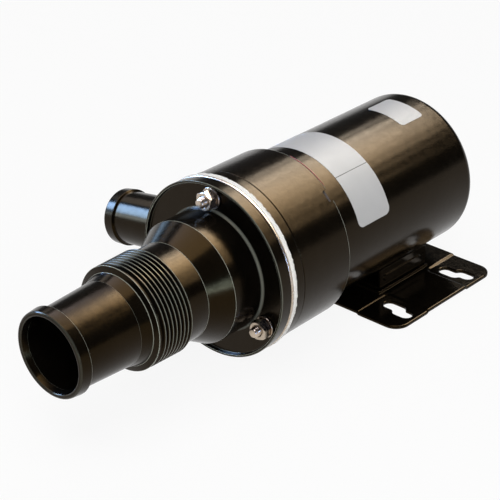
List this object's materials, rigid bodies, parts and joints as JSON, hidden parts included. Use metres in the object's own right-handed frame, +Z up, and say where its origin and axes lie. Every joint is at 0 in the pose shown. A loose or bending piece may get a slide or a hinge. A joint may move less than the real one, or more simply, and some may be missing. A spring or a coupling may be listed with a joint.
{
  "type": "macerator pump",
  "caption": "Electric macerator pump: threaded hose-barb inlet, chopper and impeller in a moulded head, side discharge barb, round motor on a slotted base plate.",
  "frame": {"origin": "underside of the base plate's raised middle, below the pump's axis and midway between the slots", "axes": "+X along the axis from the inlet barb to the motor's closed end, +Z up, +Y towards the discharge barb"},
  "size_m": [0.2309, 0.1362, 0.0805],
  "materials": {
    "black_moulding": "glossy black moulding with broad warm reflections",
    "black_enamel": "glossy black enamel on steel",
    "stainless": "bright stainless steel",
    "steel": "plain machined steel",
    "aluminium": "cast, lightly machined",
    "white_paper": "white fibre gasket sheet, matt, with a rough cut edge",
    "black_rubber": "matt",
    "red_rubber": "matt",
    "green_rubber": "matt elastomer",
    "ferrite": "dull sintered ferrite",
    "copper": "bare copper",
    "carbon": "matt pressed carbon",
    "brass": "bright drawn brass",
    "board": "brown insulating board"
  },
  "bodies": {
    "pump": {"inlet_housing": "black_moulding", "impeller_cover": "black_moulding", "pump_body": "black_moulding", "motor_can": "black_enamel", "base_plate": "black_enamel", "motor_cradle": "black_enamel", "wear_plate": "stainless", "stud_1": "stainless", "stud_2": "stainless", "stud_3": "stainless", "stud_nut_1": "stainless", "stud_nut_2": "stainless", "stud_nut_3": "stainless", "stud_washer_1": "stainless", "stud_washer_2": "stainless", "stud_washer_3": "stainless", "body_screw_1": "stainless", "body_screw_2": "stainless", "body_screw_3": "stainless", "base_screw_1": "stainless", "base_screw_2": "stainless", "tie_bolt_1": "steel", "tie_bolt_2": "steel", "front_bearing_outer": "steel", "rear_bearing_outer": "steel", "wave_washer": "steel", "brush_spring_1": "steel", "brush_spring_2": "steel", "motor_front_plate": "aluminium", "cover_gasket": "white_paper", "inlet_oring": "black_rubber", "cover_oring": "black_rubber", "shaft_seal": "black_rubber", "lead_grommet": "black_rubber", "can_seal": "red_rubber", "magnet_1": "ferrite", "magnet_2": "ferrite", "brush_holder_1": "brass", "brush_holder_2": "brass", "brush_plate": "board"},
    "rotor": {"shaft": "stainless", "armature_core": "steel", "armature_winding": "copper", "commutator": "copper", "slinger": "black_rubber", "impeller": "green_rubber", "impeller_key": "steel", "cutter_plate": "stainless", "cutter_nut": "stainless", "front_bearing_inner": "steel", "rear_bearing_inner": "steel"},
    "brush_left": {"brush_1": "carbon"},
    "brush_right": {"brush_2": "carbon"}
  },
  "joints": [
    {"name": "rotor_spin", "type": "hinge", "parent": "pump", "child": "rotor", "pos_m": [0, 0, 0.0389], "axis": [1, 0, 0], "continuous": true},
    {"name": "brush_left_slide", "type": "slide", "parent": "pump", "child": "brush_left", "axis": [0, 1, 0], "range_m": [0, 0.004], "stiffness_N_per_m": 300, "springref_m": -0.004, "deforming": ["brush_spring_1"]},
    {"name": "brush_right_slide", "type": "slide", "parent": "pump", "child": "brush_right", "axis": [0, -1, 0], "range_m": [0, 0.004], "stiffness_N_per_m": 300, "springref_m": -0.004, "deforming": ["brush_spring_2"]}
  ]
}
